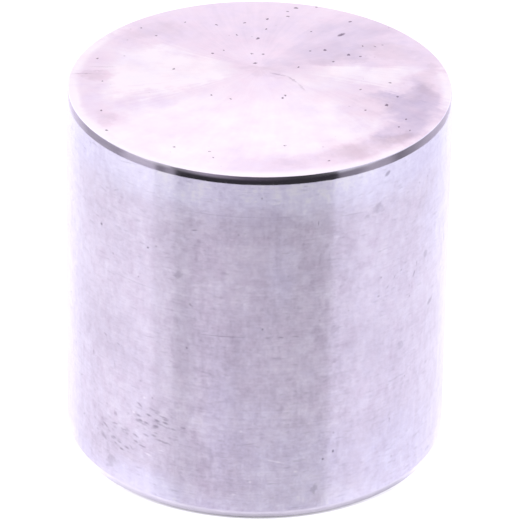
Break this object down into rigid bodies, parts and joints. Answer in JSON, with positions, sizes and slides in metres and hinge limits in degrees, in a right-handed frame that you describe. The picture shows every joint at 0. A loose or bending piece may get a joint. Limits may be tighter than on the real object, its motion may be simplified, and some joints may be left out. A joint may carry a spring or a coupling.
{
  "type": "valve shim",
  "caption": "Short hardened steel cap: a solid ground crown on a skirt whose blind bore slips over a valve stem's end, to set the gap above it.",
  "frame": {"origin": "centre of the open rim that the shim stands on", "axes": "+Z along the shim's axis, from the open rim to the crown"},
  "size_m": [0.01, 0.01, 0.01],
  "materials": {
    "ground_steel": "hardened steel, ground on the crown and round the outside, with polished edge breaks"
  },
  "bodies": {
    "root": {"valve_shim": "ground_steel"}
  },
  "joints": []
}
